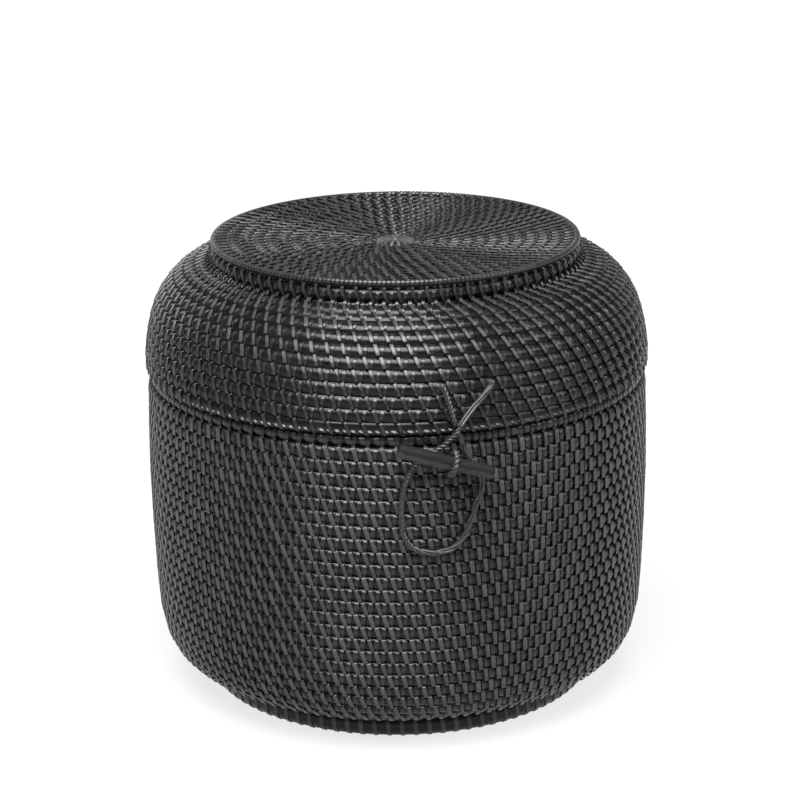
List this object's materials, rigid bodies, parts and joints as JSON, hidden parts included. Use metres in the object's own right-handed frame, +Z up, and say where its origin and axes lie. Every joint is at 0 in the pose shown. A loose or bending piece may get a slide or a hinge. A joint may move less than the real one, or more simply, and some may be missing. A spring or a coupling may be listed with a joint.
{
  "type": "lidded coiled cane basket",
  "caption": "Round lidded basket of coiled, laced cane with a raised top disc, foot ring, tied lid hinge and a toggle and cord-loop closure.",
  "frame": {"origin": "on the floor under the basket's axis, in the plane of the foot ring's underside", "axes": "+Z up along the basket's axis; -Y is the front, with the toggle closure; +Y is the back, with the hinge ties; +X is to the right seen from the front"},
  "size_m": [0.2556, 0.2822, 0.2304],
  "materials": {
    "black_cane": "near-black stain under a satin lacquer on laced cane, with small bright highlights",
    "black_lacing": "near-black lacquered split cane, wound closely round the coil",
    "twisted_cord": "near-black twisted cord of split cane fibre, satin to glossy",
    "dark_twig": "brown-black stained twig with lengthwise ridges, dull satin"
  },
  "bodies": {
    "root": {"foot_ring": "black_cane", "base_disc": "black_cane", "body_wall": "black_cane", "body_rim": "black_lacing", "locating_collar": "black_cane", "hinge_tie_left": "twisted_cord", "hinge_tie_right": "twisted_cord", "toggle_tie_stem": "twisted_cord", "toggle_tie_knot": "twisted_cord"},
    "lid": {"lid_rim": "black_lacing", "lid_shoulder": "black_cane", "lid_step_ring": "black_cane", "lid_top_disc": "black_cane", "loop_tail_right": "twisted_cord", "loop_tail_left": "twisted_cord"},
    "loop": {"closure_loop": "twisted_cord"},
    "toggle": {"toggle_peg": "dark_twig", "toggle_tie_loop": "twisted_cord"}
  },
  "joints": [
    {"name": "lid_hinge", "type": "hinge", "parent": "root", "child": "lid", "pos_m": [0, 0.1284, 0.1681], "axis": [-1, 0, 0], "range_deg": [0, 170]},
    {"name": "loop_lift", "type": "hinge", "parent": "lid", "child": "loop", "pos_m": [0.003, -0.1309, 0.1699], "axis": [-1, 0, 0], "range_deg": [0, 150], "deforming": ["closure_loop"]},
    {"name": "toggle_swivel", "type": "hinge", "parent": "root", "child": "toggle", "pos_m": [0, -0.1347, 0.1545], "axis": [0, 1, 0], "range_deg": [-78, 41]}
  ]
}
